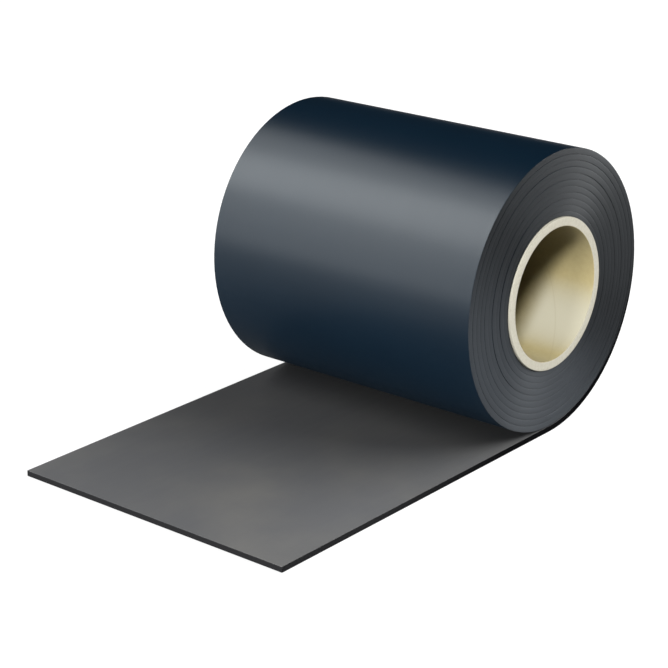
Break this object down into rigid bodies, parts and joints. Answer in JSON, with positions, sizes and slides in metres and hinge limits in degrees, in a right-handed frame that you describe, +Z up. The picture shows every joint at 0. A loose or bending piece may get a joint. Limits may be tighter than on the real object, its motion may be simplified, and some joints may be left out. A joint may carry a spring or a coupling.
{
  "type": "roll of epdm membrane",
  "caption": "Strip of black EPDM rubber roofing membrane wound on an open paper core, lying on its side with the free end rolled out flat on the floor.",
  "frame": {"origin": "on the floor, under the axis of the roll, halfway along its width", "axes": "+X along the axis of the roll, -Y the way the free end lies, +Z up"},
  "size_m": [0.182, 0.3097, 0.1625],
  "materials": {
    "epdm_rubber": "satin black rubber with a blue cast outside, matte dark grey inside and on the slit edges",
    "core_paper": "matte spiral-wound paper, cream on the cut ends and khaki in the bore"
  },
  "bodies": {
    "root": {"membrane": "epdm_rubber", "core_tube": "core_paper"}
  },
  "joints": []
}
